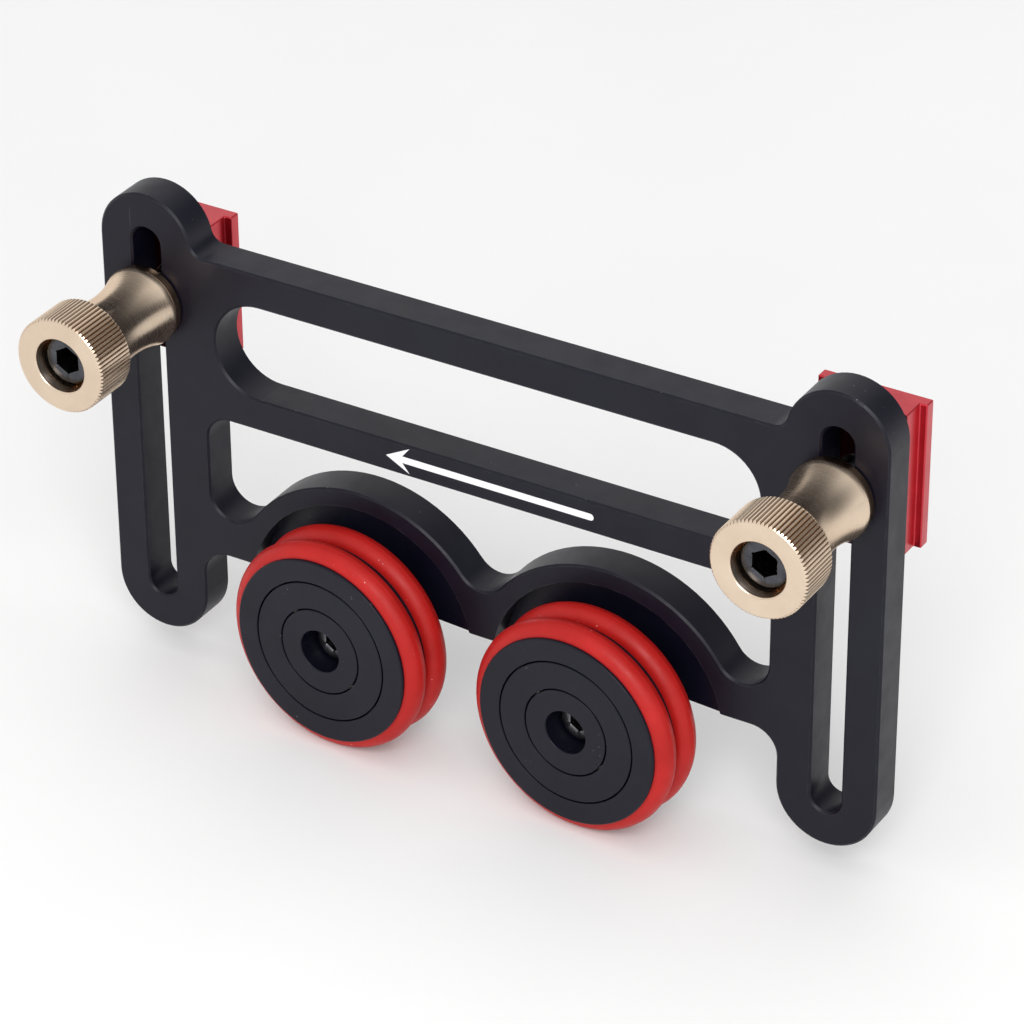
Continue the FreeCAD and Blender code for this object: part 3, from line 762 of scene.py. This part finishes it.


# %% [markdown]
# Gold anodising is a clear, tinted skin on satin aluminium. The metal below still shows its tool marks, which
# spread every highlight into a streak along the knob. In the grooves of the knurl less light gets out, so they get
# painted shade: they are toned dark brown by how deep the knurling wheel pressed each point.

# %% Gold finish and knobs
def gold_anodised(name, light, dark, marks_pitch, marks_depth):
    finish, tree, shader = new_finish(name, Metallic=1.0, Specular_Tint=(1.0, 0.88, 0.78, 1))
    cloud = use_group(tree, clouds, {"Scale": 120.0})
    specks = use_group(tree, dust, {"Cells per metre": 420.0, "Size": 0.00014, "Share": 0.10})
    wear = use_group(tree, edge_wear_and_painted_highlight, {"Width": 0.00025, "Rub": 0.55})
    gold = blend(tree, cloud, (*dark, 1), (*light, 1))
    brighter = blend(tree, wear, gold, (0.93, 0.84, 0.72, 1))
    pressed = place(tree, "ShaderNodeAttribute", attribute_name="pressed").outputs["Fac"]
    # Painted shade: the knurl's grooves are toned dark brown by how deep each point was pressed.
    knurl_groove_painted_shade = blend(tree, spread(tree, pressed, 0.3, 0.9, 0.0, 0.93), brighter, (0.20, 0.10, 0.055, 1))
    dusty = blend(tree, maths(tree, "MULTIPLY", specks, 0.6), knurl_groove_painted_shade, (0.25, 0.18, 0.12, 1))
    tree.links.new(dusty, shader.inputs["Base Color"])
    circles = use_group(tree, tool_marks, {"Pitch": marks_pitch})
    rough = spread(tree, circles, 0.35, 0.65, 0.21, 0.29)
    tree.links.new(maths(tree, "ADD", rough, maths(tree, "MULTIPLY", pressed, 0.2)), shader.inputs["Roughness"])
    raise_bumps(tree, shader, circles, marks_depth, 0.8)
    return finish


knob_gold = gold_anodised("knob_gold", (0.76, 0.62, 0.48), (0.69, 0.55, 0.42), 0.00007, 0.0016 * MM)
WASHER_EDGE = 0.3 * MM
# Painted shade: the washer is the knob's gold darkened to brown, standing in for the dark plate it reflects.
washer_gold_painted_shade = gold_anodised("washer_gold_painted_shade", (0.50, 0.35, 0.25), (0.36, 0.24, 0.16), 0.00015, 0.004 * MM)
for side in SIDES:
    finish_piece("clamp_knob_knurled_" + side, turn_knob(side), side + "_knob", knob_gold,
                 "clamp_knob_" + side)
    joint = joints[side + "_knob_turn"]
    hole, rim, back, front = measure("knob_washer_" + side, joint)
    washer = lathe([(hole, back, 0), (rim, back, WASHER_EDGE), (rim, front, WASHER_EDGE), (hole, front, 0)])
    set_on(washer, joint)
    finish_piece("knob_washer_turned_" + side, washer, side + "_carriage", washer_gold_painted_shade,
                 "knob_washer_" + side)


# %% [markdown]
# ## Track blocks
# A track block is sawn from a T-shaped aluminium extrusion, bored for a threaded insert, and anodised red. The
# section is drawn once, extruded upwards, and every edge is rounded, as a deburring wheel would. For the bore, the
# front and back faces are opened. The front opening's border is extruded again and again: inwards to a circle,
# through the block, and outwards to the back opening, where each point is welded to its partner. The first and
# last circles are larger and make the bore's chamfered mouths. Separate circles could be bridged instead, but a
# bridge may pair their points the wrong way round, and then the bore is pinched like an hourglass.

# %% Shape the track blocks
BORE_STEPS = 48
BORE_MOUTH = 0.3 * MM
BLOCK_EDGE = 0.3 * MM
NECK_HALF_WIDTH = 9.5 * MM
SWIVEL_TO_LIP = 1.15 * MM
INSERT_CLEARANCE = 0.03 * MM


def open_face(shape, y):
    """Delete the face in an XZ plane, divide its border evenly, and return the border's edges."""
    face = next(face for face in shape.faces if all(abs(vert.co.y - y) < MERGE_DISTANCE for vert in face.verts))
    border = face.edges[:]
    bmesh.ops.delete(shape, geom=[face], context="FACES_ONLY")
    bmesh.ops.subdivide_edges(shape, edges=border, cuts=BORE_STEPS // 4 - 1)
    return [edge for edge in open_edges(shape) if all(abs(vert.co.y - y) < MERGE_DISTANCE for vert in edge.verts)]


def round_the_bore(verts, centre):
    """Sort points by their turn about the bore's axis; the start falls between two points."""
    return sorted(verts, key=lambda vert: (math.atan2(vert.co.z - centre.z, vert.co.x - centre.x) + 0.1) % math.tau)


def bore_through(shape, centre, front, back, bore):
    """Carry the front opening's border through the block to the back opening."""
    edges = open_face(shape, front)
    far_side = {vert for edge in open_face(shape, back) for vert in edge.verts}
    places = ((front, BORE_MOUTH), (front + BORE_MOUTH, 0), (back - BORE_MOUTH, 0), (back, BORE_MOUTH), (back, 0))
    for y, wider in places:
        grown = bmesh.ops.extrude_edge_only(shape, edges=edges)["geom"]
        ring = verts_in(grown)
        edges = [item for item in grown if isinstance(item, bmesh.types.BMEdge) and item.is_boundary]
        for vert in ring:
            arm = Vector((vert.co.x - centre.x, 0, vert.co.z - centre.z)).normalized()
            vert.co = Vector((centre.x, y, centre.z)) + arm * (bore + wider)
    partners = zip(round_the_bore(ring, centre), round_the_bore(far_side, centre))
    bmesh.ops.weld_verts(shape, targetmap=dict(partners))


def shape_block(side):
    low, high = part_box("track_block_" + side)
    insert_low, insert_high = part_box("thread_insert_" + side)
    centre = (low + high) / 2
    lip_y = joints[side + "_block_swivel"]["pos_m"][1] + SWIVEL_TO_LIP
    neck = NECK_HALF_WIDTH
    flange = (high.x - low.x) / 2
    section = [(-neck, low.y), (neck, low.y), (neck, lip_y), (flange, lip_y),
               (flange, high.y), (-flange, high.y), (-flange, lip_y), (-neck, lip_y)]
    shape = bmesh.new()
    corners = [shape.verts.new((centre.x + x, y, low.z)) for x, y in section]
    foot = shape.faces.new(corners)
    tops = verts_in(bmesh.ops.extrude_face_region(shape, geom=[foot])["geom"])
    bmesh.ops.translate(shape, vec=(0, 0, high.z - low.z), verts=tops)
    bmesh.ops.bevel(shape, geom=shape.edges[:], offset=BLOCK_EDGE, offset_type="OFFSET", affect="EDGES",
                    segments=3, profile=0.5, material=-1)
    bore = (insert_high.x - insert_low.x) / 2 + INSERT_CLEARANCE
    bore_through(shape, centre, low.y, high.y, bore)
    print("track block", side, "closed:", all(edge.is_manifold for edge in shape.edges))
    return shape


# %% [markdown]
# The block's red is dye in a clear skin over bright metal, so it glows from below, and the clear skin adds a pale
# gloss on top. A metallic base with a coat does both. Fine lines run up the sides, left by the extrusion die.
#
# The block's front face slides on the back of the plate, where it lies in deep shade, and it is painted near-black
# as painted shade. The mask for it asks two things of each point: that it faces forward, and that it lies in that
# foremost plane.

# %% Red finish and blocks
FOREMOST = 1 * MM


def front_face_painted_shade(tree):
    """A mask for the face that slides on the plate, where the block gets its painted shade."""
    facing = place(tree, "ShaderNodeSeparateXYZ", {0: tree.nodes.new("ShaderNodeNewGeometry").outputs["Normal"]})
    where = place(tree, "ShaderNodeSeparateXYZ", {0: object_coordinates(tree)})
    forward = spread(tree, facing.outputs["Y"], -0.3, -0.6)
    foremost = maths(tree, "LESS_THAN", where.outputs["Y"], FOREMOST)
    uneven = use_group(tree, clouds, {"Scale": 260.0, "Low": 0.90, "High": 0.96})
    return maths(tree, "MULTIPLY", maths(tree, "MULTIPLY", forward, foremost), uneven)


def red_anodised():
    finish, tree, shader = new_finish("red_anodised_satin", Metallic=0.9, Coat_Weight=0.5, Coat_Roughness=0.22)
    cloud = use_group(tree, clouds, {"Scale": 150.0})
    red = blend(tree, cloud, (0.48, 0.013, 0.026, 1), (0.58, 0.022, 0.038, 1))
    wear = use_group(tree, edge_wear_and_painted_highlight, {"Width": 0.0003, "Rub": 0.35})
    specks = use_group(tree, dust, {"Cells per metre": 420.0, "Size": 0.00018, "Share": 0.12})
    rubbed = blend(tree, wear, red, (0.80, 0.42, 0.44, 1))
    dusty = blend(tree, maths(tree, "MULTIPLY", specks, 0.6), rubbed, (0.80, 0.60, 0.60, 1))
    # Painted shade: the front face against the plate is blended to a near-black red.
    tree.links.new(blend(tree, front_face_painted_shade(tree), dusty, (0.030, 0.004, 0.008, 1)), shader.inputs["Base Color"])
    drawn = place(tree, "ShaderNodeMapping", {"Vector": object_coordinates(tree), "Scale": (1.0, 1.0, 0.01)})
    lines = place(tree, "ShaderNodeTexNoise", {"Vector": drawn.outputs[0], "Scale": 4200.0, "Detail": 3.0})
    tree.links.new(spread(tree, lines.outputs["Fac"], 0.3, 0.7, 0.28, 0.46), shader.inputs["Roughness"])
    raise_bumps(tree, shader, lines.outputs["Fac"], 0.008 * MM, 0.7)
    return finish


block_red = red_anodised()
for side in SIDES:
    finish_piece("track_block_sawn_" + side, shape_block(side), side + "_block", block_red,
                 "track_block_" + side)

# %% [markdown]
# ## Thread inserts
# The soft block could not hold a steel screw's thread for long, so a steel insert is pressed into it. Only its
# ends show: a ring with a chamfered mouth.

# %% Turn the thread inserts
THREAD_MOUTH = 0.5 * MM
INSERT_EDGE = 0.15 * MM

for side in SIDES:
    joint = joints[side + "_block_swivel"]
    hole, rim, back, front = measure("thread_insert_" + side, joint)
    mouth = hole + THREAD_MOUTH
    insert = lathe([(hole, back + THREAD_MOUTH, 0), (mouth, back, 0), (rim, back, INSERT_EDGE),
                    (rim, front, INSERT_EDGE), (mouth, front, 0), (hole, front - THREAD_MOUTH, 0)])
    set_on(insert, joint)
    finish_piece("thread_insert_turned_" + side, insert, side + "_insert", ground_steel,
                 "thread_insert_" + side)


# %% [markdown]
# ## The hidden clutch
# Behind the cover ring sits a one-way clutch: two ground rings, a cage and its rollers. They keep their CAD shapes,
# because they only show from behind or when the wheel is taken apart. The rings and rollers are ground steel, and
# the cage is moulded nylon.

# %% Finish the clutch
def nylon_finish():
    finish, tree, shader = new_finish("cage_nylon", Metallic=0.0, IOR=1.53, Subsurface_Weight=0.1)
    cloud = use_group(tree, clouds, {"Scale": 220.0})
    tree.links.new(blend(tree, cloud, (0.62, 0.58, 0.49, 1), (0.74, 0.71, 0.62, 1)), shader.inputs["Base Color"])
    tree.links.new(use_group(tree, clouds, {"Scale": 400.0, "Low": 0.4, "High": 0.55}), shader.inputs["Roughness"])
    raise_bumps(tree, shader, grain(tree, 2500.0), 0.01 * MM, 0.5)
    return finish


cage_nylon = nylon_finish()
for side in SIDES:
    for name in ("clutch_outer_race_", "clutch_inner_race_", "clutch_rollers_", "rear_spacer_", "clutch_cage_"):
        slots = nodes[name + side].data.materials
        slots.clear()
        slots.append(cage_nylon if name == "clutch_cage_" else ground_steel)
print("clutch parts finished")


# %% [markdown]
# ## Floor, light and camera
# The guide stands on a plain pale floor in a soft white studio. Black anodising shows little but reflections, so
# the light is broad and pale, with one large soft panel in front and to the right that gives the metal a
# direction. Behind and to the right the studio is dark. Round surfaces reflect that darkness as a deep soft band,
# which shows that they are round; in a studio that was white all over they would look flat.

# %% Floor
def floor_finish():
    finish, tree, shader = new_finish("studio_floor", Metallic=0.0, Specular_IOR_Level=0.2)
    cloud = use_group(tree, clouds, {"Scale": 6.0})
    tree.links.new(blend(tree, cloud, (0.88, 0.88, 0.88, 1), (0.91, 0.91, 0.91, 1)), shader.inputs["Base Color"])
    tree.links.new(use_group(tree, clouds, {"Scale": 30.0, "Low": 0.7, "High": 0.8}), shader.inputs["Roughness"])
    return finish


FLOOR_SIZE = 6.0
FLOOR_GAP = 0.02 * MM
floor_z = cad_box[0][2] - FLOOR_GAP
floor_shape = bmesh.new()
bmesh.ops.create_grid(floor_shape, x_segments=1, y_segments=1, size=FLOOR_SIZE / 2,
                      matrix=Matrix.Translation((0, 0, floor_z)))
floor_mesh = bpy.data.meshes.new("studio_floor")
floor_shape.to_mesh(floor_mesh)
floor_shape.free()
floor_mesh.materials.append(floor_finish())
floor = bpy.data.objects.new("studio_floor", floor_mesh)
bpy.context.scene.collection.objects.link(floor)

# %% Light
SKY_BRIGHT = 0.97
SKY_DARK = 0.18
DARK_SIDE = Vector((0.52, 0.73, 0.44)).normalized()


def soft_panel(name, place_at, aim, size, power):
    panel = bpy.data.lights.new(name, "AREA")
    panel.shape = "SQUARE"
    panel.size = size
    panel.energy = power
    lamp = bpy.data.objects.new(name, panel)
    lamp.location = place_at
    lamp.rotation_euler = (Vector(aim) - Vector(place_at)).to_track_quat("-Z", "Y").to_euler()
    bpy.context.scene.collection.objects.link(lamp)


world = bpy.data.worlds.new("white_studio")
bpy.context.scene.world = world
world.use_nodes = True
sky = world.node_tree
towards = sky.nodes.new("ShaderNodeTexCoord").outputs["Generated"]
near_dark = place(sky, "ShaderNodeVectorMath", {0: towards, 1: DARK_SIDE}, operation="DOT_PRODUCT").outputs["Value"]
studio_light = spread(sky, near_dark, 0.80, 0.99, SKY_BRIGHT, SKY_DARK)
backdrop = sky.nodes.new("ShaderNodeLightPath").outputs["Is Camera Ray"]
strength = maths(sky, "MAXIMUM", studio_light, maths(sky, "MULTIPLY", backdrop, 0.9))
sky.nodes["Background"].inputs["Color"].default_value = (1.0, 1.0, 1.0, 1)
sky.links.new(strength, sky.nodes["Background"].inputs["Strength"])
soft_panel("front_panel", (0.42, -0.70, 0.62), (0, 0, 0), 0.5, 4.6)
bpy.context.scene.view_settings.view_transform = "Standard"
print("light set, sky", SKY_DARK, "to", SKY_BRIGHT)

# %% Camera
AZIMUTH = math.radians(31.1)
ELEVATION = math.radians(31.5)
ROLL = math.radians(-0.39)
DISTANCE = 0.878
LENS = 164.6
LOOK_AT = Vector((0.0070, plate_front, -0.0041))
sight = Vector((math.sin(AZIMUTH) * math.cos(ELEVATION), -math.cos(AZIMUTH) * math.cos(ELEVATION),
                math.sin(ELEVATION)))
camera_data = bpy.data.cameras.new("studio_camera")
camera_data.lens = LENS
camera_data.clip_end = 10.0
camera = bpy.data.objects.new("studio_camera", camera_data)
camera.location = LOOK_AT + sight * DISTANCE
camera.rotation_mode = "QUATERNION"
camera.rotation_quaternion = (-sight).to_track_quat("-Z", "Y") @ Quaternion((0, 0, 1), ROLL)
bpy.context.scene.collection.objects.link(camera)
bpy.context.scene.camera = camera
print("camera at", [round(value, 4) for value in camera.location])
